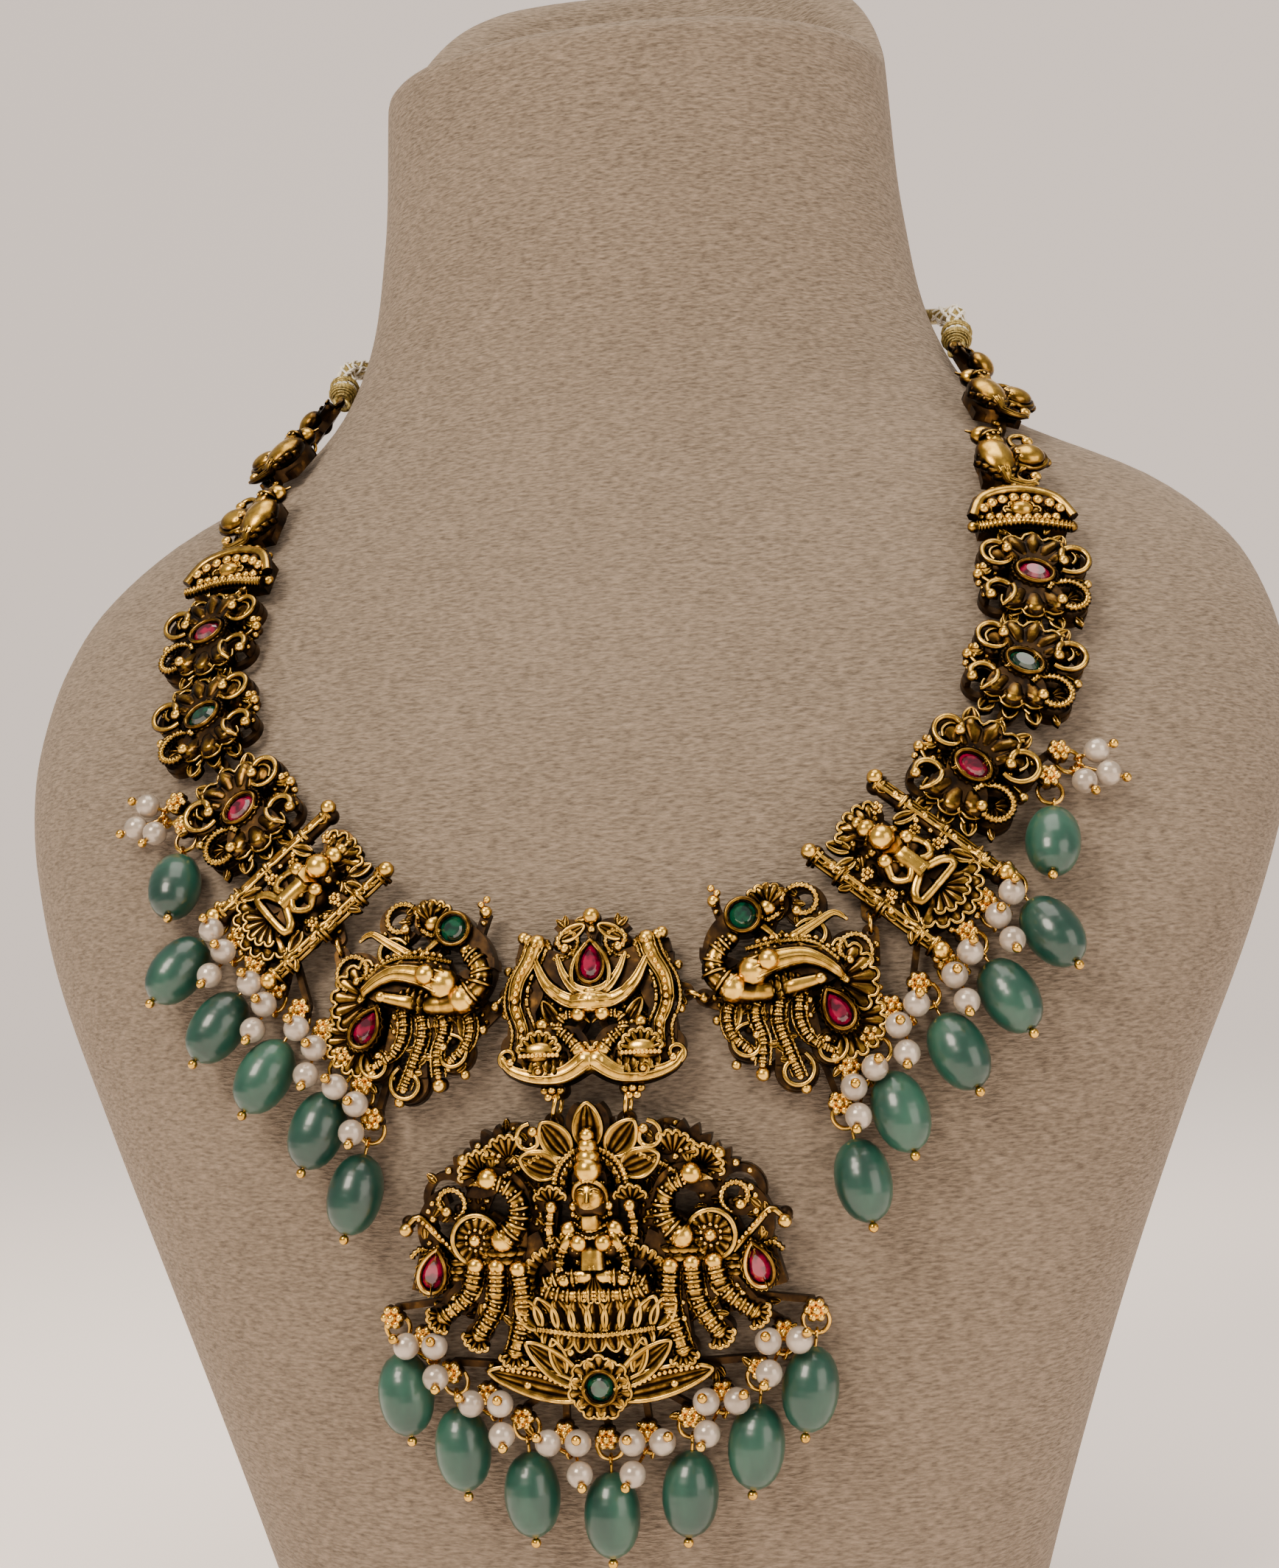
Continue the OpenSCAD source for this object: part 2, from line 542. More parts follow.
module peacock_body(w, l) {
    translate([w * PEACOCK_EYE[0], l * PEACOCK_EYE[1], 0]) bezel("oval", round_d, round_d);
    petal(w * (PEACOCK_EYE[0] + 0.15), l * (PEACOCK_EYE[1] - 0.1), -38, w * 0.34, 1.6, relief_z + 0.8);
    // neck and netted breast
    scroll(-w * 0.42, l * 0.3, w * 0.46, 100, 150, relief_z + 2, 3.2);
    scroll(-w * 0.42, l * 0.3, w * 0.46, 172, 12, relief_z + 2.6, 4);
    petal(-w * 0.86, l * 0.3, -48, w * 0.95, w * 0.4, relief_z + 1.8);
    // paisley wing with its big ball
    petal(-w * 0.42, l * 0.2, -6, w * 1.05, w * 0.52, relief_z + 2.4);
    post(-w * 0.22, l * 0.24, w * 0.26, plate_z, relief_z + 2);
    ball(-w * 0.22, l * 0.24, w * 0.15, relief_z + 2.2);
    // pot behind the neck, and the crest
    post(-w * 0.16, l * 0.78, w * 0.17, plate_z, relief_z + 0.6);
    ball(-w * 0.16, l * 0.86, w * 0.16, relief_z + 0.6);
    bar(-w * 0.3, l * 0.45, -w * 0.12, l * 0.8, 2, plate_z, relief_z);
    pierced_scroll(w * 0.2, l * 0.76, w * 0.2, 150, -300);
    pierced_scroll(w * 0.26, l * 0.44, w * 0.17, 150, -300);
    pierced_scroll(w * 0.68, l * 0.3, w * 0.2, 290, 300);
    bar(w * 0.1, l * 0.2, w * 0.3, l * 0.7, 1.6, plate_z, relief_z - 0.1);
    bar(w * 0.1, l * 0.2, w * 0.62, l * 0.3, 1.8, plate_z, relief_z - 0.1);
    // fan and shell round the teardrop
    fan(w * 0.46, -l * 0.06, 2, 24, 3, w * 0.46, w * 0.2, relief_z + 0.7);
    translate([w * PEACOCK_TEAR[0], l * PEACOCK_TEAR[1], 0]) rotate([0, 0, tear_turn - 90])
        bezel("tear", tear_l, tear_w);
    fan(w * 0.56, -l * 0.24, -36, 24, 4, w * 0.5, w * 0.2, relief_z + 0.5);
    // tail tendrils with their pierced curls
    pierced_scroll(-w * 0.5, -l * 0.5, w * 0.2, 90, 300);
    pierced_scroll(w * 0.02, -l * 0.78, w * 0.2, 60, -300);
    pierced_scroll(w * 0.42, -l * 0.58, w * 0.17, 60, -300);
    bar(-w * 0.3, l * 0.1, -w * 0.34, -l * 0.45, 2, plate_z, relief_z + 1);
    bar(-w * 0.1, 0, -w * 0.14, -l * 0.74, 2, plate_z, relief_z + 1.2);
    bar(w * 0.14, 0, w * 0.26, -l * 0.56, 2, plate_z, relief_z + 1);
    bar(-w * 0.47, -l * 0.1, w * 0.44, -l * 0.13, l * 0.26, plate_z + 0.1, relief_z - 0.35);
    petal(-w * 0.62, l * 0.02, -84, l * 0.4, w * 0.22, relief_z + 1);
    // balls on the edges
    ball(-w * 0.36, -l * 0.8, 1.1, relief_z - 0.4);
    bar(-w * 0.4, -l * 0.8, -w * 0.1, -l * 0.66, 1.2, plate_z, relief_z - 0.2);
    ball(-w * 0.86, l * 0.84, 1, relief_z);
    bar(-w * 0.86, l * 0.84, -w * 0.72, l * 0.5, 1.4, plate_z, relief_z);
    bar(-w * 1.0, -l * 0.08, -w * 0.4, l * 0.04, 1.6, plate_z, relief_z - 0.2);
}

module peacock_link(s) {
    link(link_frame(0, s), s, 0, 1, drops = concat(
        held([PEARL_STUDS[3], BEAD_STUDS[4]], s, peacock_w * 0.22, -peacock_l * 0.1),
        held([PEARL_STUDS[4], BEAD_STUDS[5]], s, peacock_w * 0.1, -peacock_l * 0.2))) peacock_art();
}

CENTRE_TEAR = [0, 0.42];
CENTRE_EYES = [0.37, -0.96];
// Half of the centre link: side leaf, lotus petal, scroll and bird
module centre_half() {
    w = centre_w / 2;
    l = centre_l / 2;
    // lotus petals and the leaf scroll over the stone
    petal(-w * 0.05, -l * 0.05, 42, w * 0.93, w * 0.4, relief_z + 1.8);
    petal(-w * 0.03, 0, 66, w * 0.74, w * 0.34, relief_z + 1.2);
    scroll(w * 0.22, l * 0.66, w * 0.22, 40, 150, relief_z + 1.4);
    ball(w * 0.36, l * 0.66, 1.15, relief_z + 0.6);
    // beaded S-shaped side leaf
    petal(w * 0.58, l * 0.6, -78, l * 0.9, w * 0.3, relief_z + 1.6);
    petal(w * 0.7, l * 0.1, -80, l * 0.8, w * 0.3, relief_z + 1.6);
    for (k = [0 : 6]) ball(w * (0.62 + 0.03 * k), l * (0.42 - 0.14 * k), 0.5, relief_z + 1.6);
    ball(w * 0.84, l * 0.62, 1);
    ball(w * 0.68, l * 0.68, 1);
    bar(w * 0.56, l * 0.55, w * 0.84, l * 0.62, 2.2, plate_z, relief_z);
    // long-necked bird with a ribbed basket on its boat-like body
    pierced_scroll(w * 0.27, -l * 0.18, w * 0.17, 60, 300);
    ball(w * 0.12, -l * 0.13, w * 0.1, relief_z + 1);
    petal(w * 0.04, -l * 0.62, 6, w * 0.9, w * 0.42, relief_z + 1.8);
    petal(w * 0.02, -l * 0.56, 20, w * 0.5, w * 0.36, relief_z + 1.9);
    ball(w * 0.46, -l * 0.4, w * 0.14, relief_z + 1);
    post(w * 0.42, -l * 0.66, w * 0.1, plate_z, relief_z + 2.4);
    scroll(w * 0.84, -l * 0.5, w * 0.12, -90, 200, relief_z + 1.4);
    // plate behind, with gaps beside the lotus and the bird's neck
    bar(w * 0.53, -l * 0.58, w * 0.6, l * 0.57, 2.3, plate_z, relief_z - 0.3);
    bar(w * 0.76, -l * 0.44, w * 0.79, l * 0.55, 2.3, plate_z, relief_z - 0.22);
    bar(0, -l * 0.6, w * 0.8, -l * 0.6, l * 0.34, plate_z, relief_z);
    bar(w * 0.76, l * 0.08, w * 1.02, l * 0.08, 2.6, plate_z, relief_z - 0.2);
    bar(0, l * 0.04, w * 0.5, l * 0.16, l * 0.24, plate_z, relief_z - 0.1);
    bar(w * 0.3, -l * 0.02, w * 0.78, l * 0.06, 1.6, plate_z, relief_z - 0.3);
}

module centre_link() {
    w = centre_w / 2;
    l = centre_l / 2;
    difference() {
        multmatrix(centre_frame) {
            for (m = [0, 1]) mirror([m, 0, 0]) centre_half();
            translate([w * CENTRE_TEAR[0], l * CENTRE_TEAR[1], 0]) bezel("tear", tear_l, tear_w);
            bar(0, -l * 0.1, 0, l * 0.9, 1.8, plate_z, relief_z);
            ball(0, l * 0.94, 1.3, relief_z + 0.2);
            for (k = [-1, 1]) eye_plate(k * w * CENTRE_EYES[0], l * CENTRE_EYES[1], 1);
        }
        for (s = [-1, 1]) pocket(0, s);
    }
    for (s = [-1, 1]) lug(0, s, -1);
}

// A flat eye with a hole, for the pendant's rings, and the bar that joins it
hang_gap = 0.4;
module eye_plate(x, y, side) {
    difference() {
        union() {
            translate([x, y, lug_z - 0.5]) cylinder(r = ring_wire + 0.75, h = 1);
            translate([x - 1.3, side > 0 ? y : y - 3.2, lug_z - 0.5]) cube([2.6, 3.2, 1]);
        }
        translate([x, y, lug_z - 1]) cylinder(r = ring_wire / 2 + hang_gap, h = 2);
    }
}

// The pendant. Places are shares of half its width and half its height
PENDANT_TEAR = [0.84, -0.02];
PENDANT_ROUND = [0, -0.78];
PENDANT_EYES = [0.19, 0.9];
pendant_tear_turn = 104;
module pendant_half() {
    w = pendant_w / 2;
    l = pendant_l / 2;
    // plate behind, with its gaps left open
    bar(w * 0.05, l * 0.66, w * 0.42, l * 0.62, l * 0.3, plate_z, relief_z - 0.2);
    bar(w * 0.3, -l * 0.1, w * 0.62, l * 0.16, l * 0.42, plate_z, relief_z - 0.2);
    bar(w * 0.24, -l * 0.62, w * 0.34, l * 0.7, w * 0.2, plate_z, relief_z - 0.2);
    bar(w * 0.52, l * 0.66, w * 0.72, l * 0.1, w * 0.14, plate_z, relief_z - 0.2);
    bar(w * 0.3, -l * 0.3, w * 0.82, -l * 0.2, l * 0.22, plate_z, relief_z - 0.2);
    // arch pieces over the head, top scroll and shells
    for (a = [80, 20]) petal(w * 0.16 * cos(a), l * 0.55 + l * 0.2 * sin(a), a, l * 0.28, w * 0.13, relief_z + 1.6);
    pierced_scroll(w * 0.4, l * 0.76, w * 0.09, 100, 300);
    fan(w * 0.46, l * 0.62, 62, 22, 3, l * 0.28, w * 0.09, relief_z + 1);
    fan(w * 0.6, l * 0.52, 50, 22, 3, l * 0.24, w * 0.08, relief_z + 0.8);
    ball(w * 0.66, l * 0.66, 1, relief_z);
    // peacock: head, collared neck, breast, wheel body, crest and swan tail
    petal(w * 0.42, l * 0.57, -22, w * 0.24, w * 0.1, relief_z + 2.4);
    scroll(w * 0.5, l * 0.4, w * 0.14, 90, 110, relief_z + 2.2, w * 0.09);
    petal(w * 0.36, l * 0.34, -60, l * 0.66, w * 0.24, relief_z + 2.2);
    post(w * 0.58, l * 0.16, w * 0.13, plate_z, relief_z + 2.2);
    post(w * 0.58, l * 0.16, w * 0.06, plate_z, relief_z + 2.8);
    pierced_scroll(w * 0.76, l * 0.44, w * 0.11, 230, 280);
    scroll(w * 0.7, l * 0.24, w * 0.18, -60, 130, relief_z + 1.25, w * 0.09);
    scroll(w * 0.92, l * 0.2, w * 0.08, 20, 150, relief_z + 1.4);
    ball(w * 0.98, l * 0.28, 1.1);
    bar(w * 0.86, l * 0.22, w * 0.94, -l * 0.16, 2, plate_z, relief_z + 1);
    translate([w * PENDANT_TEAR[0], l * PENDANT_TEAR[1], 0]) rotate([0, 0, pendant_tear_turn - 90])
        bezel("tear", tear_l, tear_w);
    // three beaded tail feathers ending in cups
    for (k = [0 : 2]) let (x0 = w * (0.4 + 0.11 * k), x1 = w * (0.44 + 0.19 * k), y1 = -l * (0.56 - 0.12 * k)) {
        bar(x0, -l * 0.02, x1, y1, w * 0.085, plate_z, relief_z + 1.4);
        post(x1, y1, w * 0.065, plate_z, relief_z + 1.6);
    }
    // ribbed crescent beside the figure
    scroll(w * 0.2, -l * 0.08, w * 0.2, -50, 120, relief_z + 1.8, w * 0.1);
    // lower leaves, shell and balls
    petal(w * 0.06, -l * 0.82, 12, w * 0.56, w * 0.14, relief_z + 1.6);
    petal(w * 0.1, -l * 0.72, 44, w * 0.34, w * 0.13, relief_z + 1.3);
    fan(w * 0.26, -l * 0.52, 90, 24, 3, l * 0.2, w * 0.07, relief_z + 1);
    ball(w * 0.14, -l * 0.56, 0.9);
    bar(w * 0.02, -l * 0.74, w * 0.5, -l * 0.62, l * 0.12, plate_z, relief_z - 0.2);
}

// The seated figure, her halo, lotus seat and the flower below
module pendant_middle() {
    w = pendant_w / 2;
    l = pendant_l / 2;
    bar(0, -l * 0.86, 0, l * 0.92, w * 0.25, plate_z, relief_z - 0.1);
    scroll(0, l * 0.5, w * 0.15, -20, 220, relief_z + 1.8, 1.4);
    post(0, l * 0.5, w * 0.15, plate_z, relief_z + 0.8);
    ball(0, l * 0.38, w * 0.085, relief_z + 2.2);
    post(0, l * 0.54, w * 0.09, plate_z, relief_z + 2.6);
    post(0, l * 0.7, w * 0.05, plate_z, relief_z + 2.2);
    ball(0, l * 0.82, w * 0.035, relief_z + 1.6);
    for (k = [-1, 1]) {
        ball(k * w * 0.09, l * 0.12, w * 0.07, relief_z + 1.6);
        bar(k * w * 0.1, l * 0.2, k * w * 0.24, l * 0.02, w * 0.08, plate_z, relief_z + 1.6);
        bar(k * w * 0.24, l * 0.02, k * w * 0.2, l * 0.36, w * 0.05, plate_z, relief_z + 1.4);
        ball(k * w * 0.21, l * 0.37, w * 0.04, relief_z + 1.4);
        bar(k * w * 0.24, l * 0.04, k * w * 0.17, -l * 0.08, w * 0.07, plate_z, relief_z + 2);
        petal(k * w * 0.02, -l * 0.22, 90 - k * 84, w * 0.28, w * 0.12, relief_z + 2.4);
    }
    post(0, -l * 0.02, w * 0.09, plate_z, relief_z + 2);
    bar(-w * 0.3, -l * 0.36, w * 0.3, -l * 0.36, l * 0.12, plate_z, relief_z + 1);
    for (k = [-2 : 2]) petal(k * w * 0.1, -l * 0.46, 90 - k * 14, l * 0.24, w * 0.12, relief_z + 1.8);
    for (k = [0 : 5]) let (a = 60 * k + 30)
        petal(w * 0.05 * cos(a), l * PENDANT_ROUND[1] + w * 0.05 * sin(a), a, w * 0.13, w * 0.12, relief_z + 1);
    translate([0, l * PENDANT_ROUND[1], 0]) bezel("oval", round_d, round_d);
}

module pendant() {
    w = pendant_w / 2;
    l = pendant_l / 2;
    multmatrix(pendant_frame) {
        for (m = [0, 1]) mirror([m, 0, 0]) {
            pendant_half();
            eye_plate(w * PENDANT_EYES[0], l * PENDANT_EYES[1], -1);
        }
        pendant_middle();
    }
    for (s = [-1, 1]) {
        studs([PENDANT_BEADS[3], PENDANT_PEARLS[2]], s, pendant_frame, w * 0.7, -l * 0.22);
        studs([PENDANT_BEADS[2], PENDANT_PEARLS[1]], s, pendant_frame, w * 0.44, -l * 0.66);
        studs([PENDANT_BEADS[1], PENDANT_PEARLS[0]], s, pendant_frame, w * 0.2, -l * 0.76);
    }
    studs([PENDANT_BEADS[0]], 1, pendant_frame, 0, -l * 0.84);
}

module pendant_rings() {
    for (k = [-1, 1]) {
        a = place(centre_frame, [k * centre_w / 2 * CENTRE_EYES[0], centre_l / 2 * CENTRE_EYES[1], lug_z]);
        b = place(pendant_frame, [k * pendant_w / 2 * PENDANT_EYES[0], pendant_l / 2 * PENDANT_EYES[1], lug_z]);
        n = normal_at(seat((a + b) / 2));
        ring(frame_on((a + b) / 2, cross(n, b - a), n), norm(b - a) / 2, ring_wire);
    }
}

// Stones, in the links' own frames
module stones(red) {
    cw = centre_w / 2;
    cl = centre_l / 2;
    kw = peacock_w / 2;
    kl = peacock_l / 2;
    pw = pendant_w / 2;
    pl = pendant_l / 2;
    if (red) multmatrix(centre_frame) translate([cw * CENTRE_TEAR[0], cl * CENTRE_TEAR[1], 0])
        cut_stone("tear", tear_l, tear_w);
    else multmatrix(pendant_frame) translate([0, pl * PENDANT_ROUND[1], 0])
        cut_stone("oval", round_d, round_d);
    for (s = [-1, 1]) {
        if (red) {
            on(link_frame(0, s), s) translate([kw * PEACOCK_TEAR[0], kl * PEACOCK_TEAR[1], 0])
                rotate([0, 0, tear_turn - 90]) cut_stone("tear", tear_l, tear_w);
            for (i = [1, 3]) on(link_frame(1 + i, s), s) rotate([0, 0, oval_turn + 90])
                cut_stone("oval", oval_l, oval_w);
            on(pendant_frame, s) translate([pw * PENDANT_TEAR[0], pl * PENDANT_TEAR[1], 0])
                rotate([0, 0, pendant_tear_turn - 90]) cut_stone("tear", tear_l, tear_w);
        } else {
            on(link_frame(0, s), s) translate([kw * PEACOCK_EYE[0], kl * PEACOCK_EYE[1], 0])
                cut_stone("oval", round_d, round_d);
            on(link_frame(3, s), s) rotate([0, 0, oval_turn + 90]) cut_stone("oval", oval_l, oval_w);
        }
    }
}

// Drops. A ring hangs in each stud's eye; pins hook on the ring at its lowest part
function ring_centre(s) = place(drop_frame(s), [0, drop_ring_r, lug_z]);
function hook(s, a) = place(drop_frame(s), [drop_ring_r * sin(a), drop_ring_r + drop_ring_r * cos(a), lug_z]);
loop_wire = pin_wire * 0.88;
loop_r = ring_wire / 2 + loop_wire / 2 + 0.14;
bead_reach = loop_r + bead_neck + bead_l / 2;
bead_rest = bead_w / 2 + seat_gap + 0.25;
function bead_centre(s) = let (h = hook(s, 0), d = turn(drop_frame(s), [0, 1, 0]),
    q = seat(h + d * bead_reach)) h + bead_reach * unit(q + bead_rest * normal_at(q) - h);
// Pearls of one cluster: angle on the ring, then across, downhill past the ring and height over
// the velvet, clear of the green beads beside them. t is -1 left, 1 right
SIDE_CLUSTER = [[-45, -3, -2, 6.5], [0, 2.5, 3, 6.5], [45, 1, -1, 6]];
FIRST_CLUSTER = [[-45, -3, 1.5, 3.6], [0, 0, 4.5, 3.6], [45, 3, 1.5, 3.6]];
PENDANT_CLUSTER = [[-2, -2.3, -3, 6], [28, 2.3, 1.5, 6.8], [60, 2.2, -3, 6]];
function turned(list, t) = [for (c = list) [t * c[0], t * c[1], c[2], c[3]]];
function pearl_centre(s, c) = place(drop_frame(s), [c[1], 2 * drop_ring_r + c[2], c[3]]);

module drop_ring(s) {
    f = drop_frame(s);
    ring(frame_on(ring_centre(s), turn(f, [0, 0, 1]), turn(f, [1, 0, 0])), drop_ring_r, ring_wire);
}

// A headpin from its loop at h to past the bead at c: loop, straight wire and gold ball
module pin(h, c, half, x_dir) {
    d = unit(c - h);
    over = half + ball_d * 0.35;
    ring(frame_on(h, x_dir - (x_dir * d) * d, d), loop_r, loop_wire);
    multmatrix(frame_on(h, d, x_dir)) {
        translate([0, 0, loop_r + 0.05]) cylinder(d = pin_wire, h = norm(c - h) + over - loop_r);
        translate([0, 0, norm(c - h) + over + ball_d * 0.2]) sphere(d = ball_d);
    }
}

module bead_pin(s) {
    pin(hook(s, 0), bead_centre(s), bead_l / 2, turn(drop_frame(s), [1, 0, 0]));
}

module pearl(s, c) {
    h = hook(s, c[0]);
    p = pearl_centre(s, c);
    multmatrix(frame_on(p, p - h, turn(drop_frame(s), [1, 0, 0]))) difference() {
        sphere(d = pearl_d);
        cylinder(d = bead_hole, h = pearl_d * 2, center = true);
    }
}

// A green bead, a smooth oval turned on its hole
module green_bead(s) {
    h = hook(s, 0);
    c = bead_centre(s);
    steps = 12;
    side = [for (k = [0 : steps]) let (a = -90 + 180 * k / steps)
        [max(bead_w / 2 * pow(cos(a), 0.86), bead_hole / 2 + 0.5), bead_l / 2 * sin(a)]];
    multmatrix(frame_on(c, c - h, turn(drop_frame(s), [1, 0, 0])))
        rotate_extrude($fn = 32) polygon(concat([[bead_hole / 2, -bead_l / 2]], side, [[bead_hole / 2, bead_l / 2]]));
}

// The bust
RINGS = 44;
AROUND = 56;
// Where the top is lifted into the nape, growing from the middle of the neck to its back
function nape(y) = let (m = mid_y(1), f = min(max((y - m + half_depth(1) * 0.15) / (half_depth(1) * 1.1), 0), 1))
    nape_rise * f * f * (3 - 2 * f);
nape_start = 0.88;
function ring_point(t, a, inset, lift) = let (
    n = smooth(t, 5), hw = half_width(t) - inset, hd = half_depth(t) - inset,
    x = hw * signed_power(sin(a), 2 / n), y = mid_y(t) - hd * signed_power(cos(a), 2 / n),
    s = max((t - nape_start) / (1 - nape_start), 0))
    [x, y, bust_h * t + nape(y) * s * s + lift];
module neck_bust() {
    lip = rim_w / 2;
    wall = [for (k = [0 : RINGS]) [k / RINGS, 0, 0]];
    rim = [for (k = [1 : 4]) [1, lip * (1 - cos(45 * k)), lip * sin(45 * k) * 0.8]];
    bowl = [[1, rim_w + 0.5, -hollow_depth], [1, rim_w + 6, -hollow_depth - 1]];
    all = concat(wall, rim, bowl);
    pts = [for (r = all) for (k = [0 : AROUND - 1]) ring_point(r[0], 360 * k / AROUND, r[1], r[2])];
    sides = [for (k = [0 : len(all) - 2]) for (i = [0 : AROUND - 1]) let (j = (i + 1) % AROUND)
        [k * AROUND + i, (k + 1) * AROUND + i, (k + 1) * AROUND + j, k * AROUND + j]];
    last = (len(all) - 1) * AROUND;
    middle = [0, mid_y(1), bust_h - hollow_depth - 1 + nape(mid_y(1))];
    lid = [for (i = [0 : AROUND - 1]) [last + i, len(pts), last + (i + 1) % AROUND]];
    polyhedron(concat(pts, [middle]), concat([[for (i = [0 : AROUND - 1]) i]], sides, lid));
}

// The cord and what is on it. It leaves the velvet at both thread caps and at the slide
cap_rest = seat_gap + cap_d / 2 + 1.9;
cord_rest = seat_gap + cord_d / 2;
slider_d = cord_d + 3.4;
slider_rest = seat_gap + slider_d / 2 + 0.1;
function on_neck(p, rest) = let (q = seat(p)) q + rest * normal_at(q);
function rest_at(i) = i == 0 ? cap_rest : i == 1 ? (cap_rest + cord_rest) / 2 : cord_rest;

// The thread cap's loop and body: how far each starts from the end link's wire, along the cap
thread_loop_r = 1.5;
thread_loop_wire = 0.9;
thread_loop_at = thread_loop_r - (end_wire + thread_loop_wire) / 2 - 0.2;
cap_start = thread_loop_at + thread_loop_r - 0.3;
cap_cone = 2.6;
cap_l = 4.8;
cap_bore = cord_d / 2 + 0.25;
bore_start = 2;
function cap_from(s) = place(link_frame(8, s), [0, end_ring_y + end_ring_r, lug_z]);
function cap_to(s) = on_neck([s * CORD_HALF[0][0], CORD_HALF[0][1], CORD_HALF[0][2]], cap_rest);
// The cord starts on the cap's axis, just inside its bore
function cord_start(s) = let (a = cap_from(s)) a + (cap_start + bore_start + 0.3) * unit(cap_to(s) - a);
function cord_half(s) = concat([cord_start(s)], [for (i = [0 : len(CORD_HALF) - 1])
    on_neck([s * CORD_HALF[i][0], CORD_HALF[i][1], CORD_HALF[i][2]], rest_at(i))]);
SLIDE_AT = on_neck(CORD_MID, slider_rest);
slide_straight = slider_l / 2 + 1.5;
CORD_MIDDLE = [for (k = [1, 0, -1]) SLIDE_AT + [k * slide_straight, 0, 0]];
function backwards(list) = [for (i = [len(list) - 1 : -1 : 0]) list[i]];
CORD_LINE = concat(cord_half(1), CORD_MIDDLE, backwards(cord_half(-1)));
CORD_SIDES = 10;
module cord() {
    n = len(CORD_LINE);
    dirs = [for (i = [0 : n - 1]) unit(CORD_LINE[min(i + 1, n - 1)] - CORD_LINE[max(i - 1, 0)])];
    pts = [for (i = [0 : n - 1]) let (f = frame_on(CORD_LINE[i], dirs[i], up))
        for (k = [0 : CORD_SIDES - 1]) let (a = 360 * k / CORD_SIDES)
            place(f, [cord_d / 2 * cos(a), cord_d / 2 * sin(a), 0])];
    sides = [for (i = [0 : n - 2]) for (k = [0 : CORD_SIDES - 1]) let (j = (k + 1) % CORD_SIDES)
        [i * CORD_SIDES + k, (i + 1) * CORD_SIDES + k, (i + 1) * CORD_SIDES + j, i * CORD_SIDES + j]];
    polyhedron(pts, concat([[for (k = [0 : CORD_SIDES - 1]) k]], sides,
        [[for (k = [CORD_SIDES - 1 : -1 : 0]) (n - 1) * CORD_SIDES + k]]));
}

// The wound thread: a loop through the end link's ring, then a bulge round the cord's end
module thread_cap(s) {
    a = cap_from(s);
    d = unit(cap_to(s) - a);
    n = normal_at(seat(a));
    ring(frame_on(a + thread_loop_at * d, cross(d, n), d), thread_loop_r, thread_loop_wire);
    multmatrix(frame_on(a + cap_start * d, d, n)) difference() {
        union() {
            cylinder(d1 = cap_d * 0.5, d2 = cap_d, h = cap_cone);
            translate([0, 0, cap_cone - 0.1]) cylinder(d = cap_d, h = cap_l - cap_cone + 0.1);
        }
        translate([0, 0, bore_start]) cylinder(r = cap_bore, h = cap_l);
    }
}

// Groups over the whole necklace
module link_rings() {
    for (s = [-1, 1]) for (j = [0 : len(JOINTS[0]) - 1]) joint_ring(j, s);
}

module drop_rings() {
    for (s = [-1, 1]) for (q = hung(concat(BEAD_STUDS, PEARL_STUDS), s)) drop_ring(q);
    for (s = [-1, 1]) for (q = hung(PENDANT_PEARLS, s, PENDANT_PLACE[0])) drop_ring(q);
    for (k = [1 : GREEN_PENDANT]) drop_ring(pendant_stud(k));
}

module pearls(list, cluster, t) {
    for (q = list) for (c = turned(cluster, t)) pearl(q, c);
}

module pins(list, cluster, t) {
    for (q = list) for (c = turned(cluster, t)) let (a = c[0])
        pin(hook(q, a), pearl_centre(q, c), pearl_d / 2, turn(drop_frame(q), [cos(a), -sin(a), 0]));
}

// The drops of one side: the first pearls hang free beside the flower link
function first(s) = hung([PEARL_STUDS[0]], s);
function others(s) = hung([for (i = [1 : len(PEARL_STUDS) - 1]) PEARL_STUDS[i]], s);
module side_pearls(s) {
    pearls(first(s), FIRST_CLUSTER, s);
    pearls(others(s), SIDE_CLUSTER, s);
}

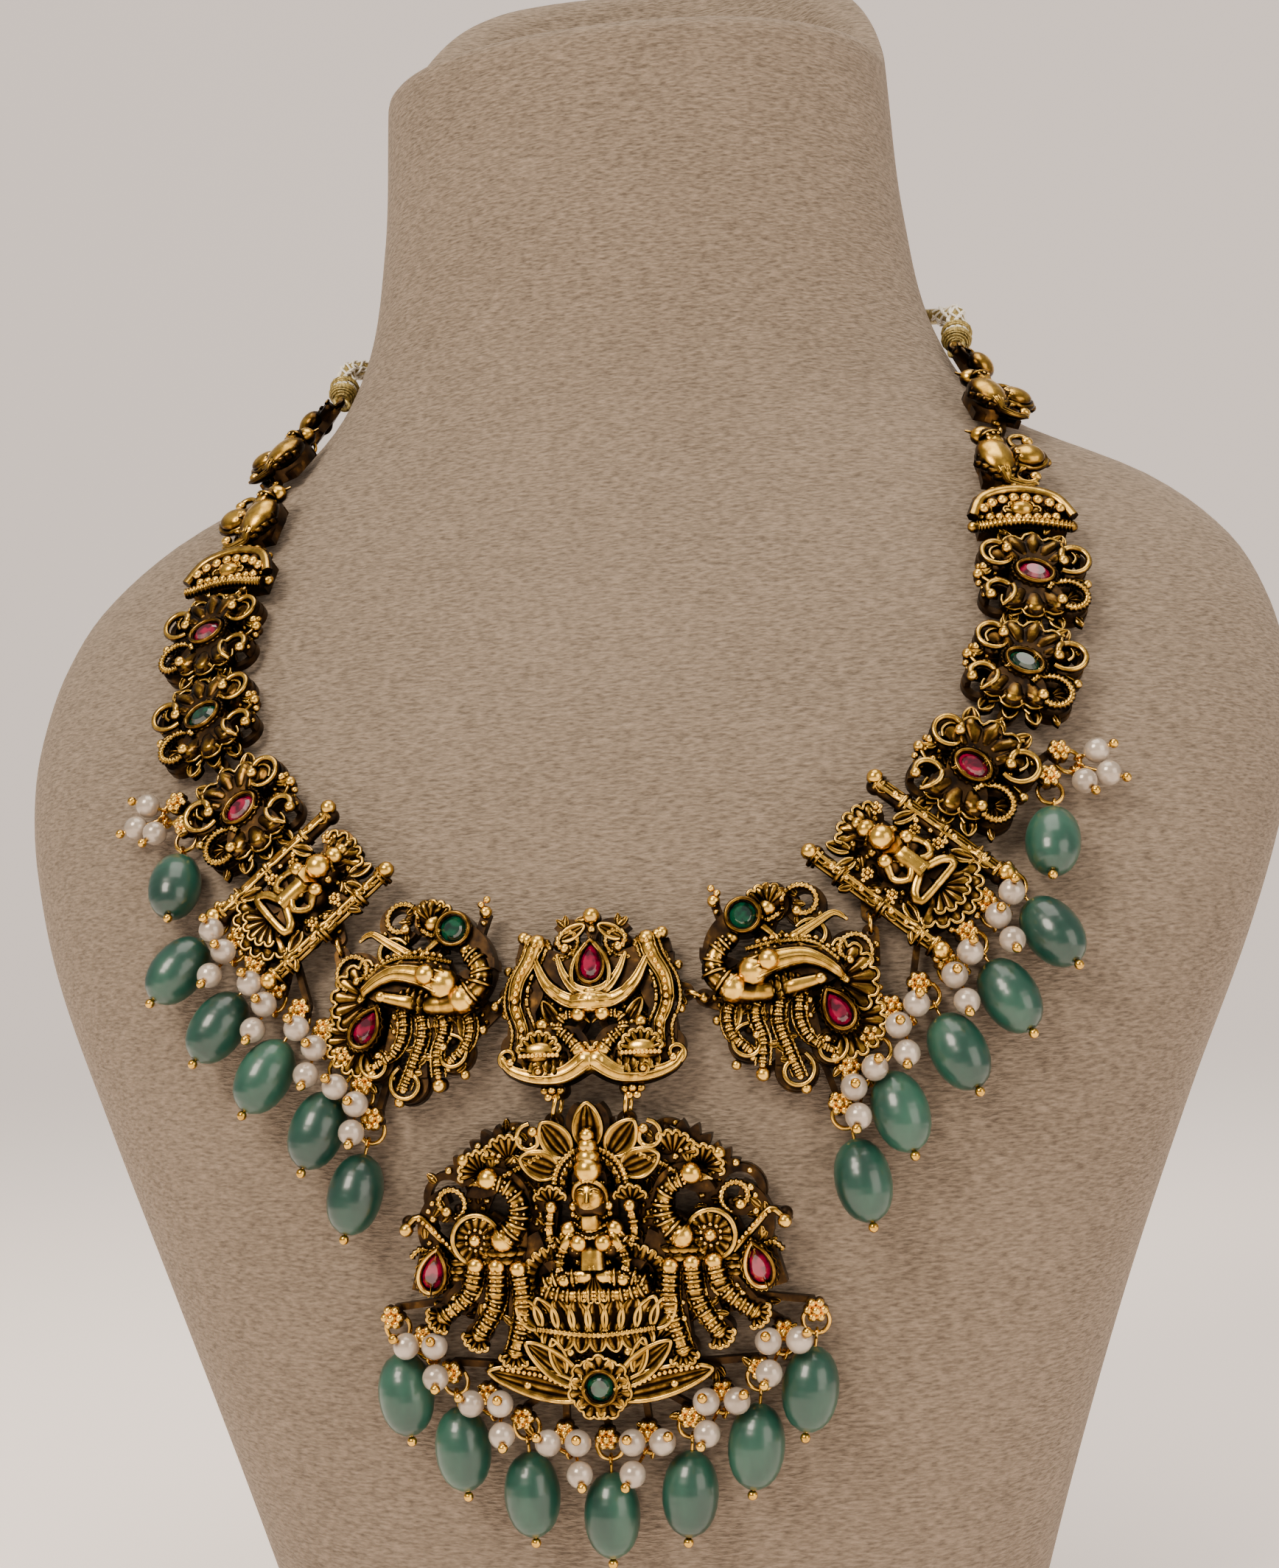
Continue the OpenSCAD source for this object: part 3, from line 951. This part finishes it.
module side_pins(s) {
    for (q = hung(BEAD_STUDS, s)) bead_pin(q);
    pins(first(s), FIRST_CLUSTER, s);
    pins(others(s), SIDE_CLUSTER, s);
}

// The pendant's beads are counted from the viewer's left
function pendant_stud(k) = hung([PENDANT_BEADS[abs(k - 4)]], k < 4 ? -1 : 1, PENDANT_PLACE[0])[0];
PENDANT_BEAD_PLACES = [for (k = [1 : GREEN_PENDANT]) pendant_stud(k)];
function pendant_pearl_places(s) = hung(PENDANT_PEARLS, s, PENDANT_PLACE[0]);

module pendant_pearls() {
    for (s = [-1, 1]) pearls(pendant_pearl_places(s), PENDANT_CLUSTER, s);
}

module pendant_pins() {
    for (q = PENDANT_BEAD_PLACES) bead_pin(q);
    for (s = [-1, 1]) pins(pendant_pearl_places(s), PENDANT_CLUSTER, s);
}

// The slide that closes the cord at the nape
module slider() {
    translate(SLIDE_AT - [slider_l / 2, 0, 0]) rotate([0, 90, 0]) difference() {
        cylinder(d = slider_d, h = slider_l);
        translate([0, 0, -1]) cylinder(r = cap_bore, h = slider_l + 2);
    }
}

color(velvet) neck_bust();
color(zari) cord();
color(gold) slider();
color(gold) centre_link();
color(gold) pendant();
color(gold) pendant_rings();
color(gold) link_rings();
color(gold) drop_rings();
color(ruby) stones(true);  // rubies
color(emerald) stones(false);  // emeralds
for (i = [0 : 1]) {
    s = 2 * i - 1;
    n = SIDES[i];
    color(zari) thread_cap(s);
    color(gold) peacock_link(s);
    color(gold) figure_link(s);
    color(gold) crown_link(s);
    color(gold) end_link(s);
    color(cream) side_pearls(s);
    color(gold) side_pins(s);
    for (k = [1 : 3])
        color(gold) flower_link(k, s);
    for (k = [1 : 2])
        color(gold) bird_link(k, s);
    for (k = [1 : GREEN_SIDE])
        color(jade) green_bead(hung([BEAD_STUDS[k - 1]], s)[0]);
}
color(cream) pendant_pearls();  // pearls_pendant
color(gold) pendant_pins();  // drop_pins_pendant
for (k = [1 : GREEN_PENDANT])
    color(jade) green_bead(pendant_stud(k));
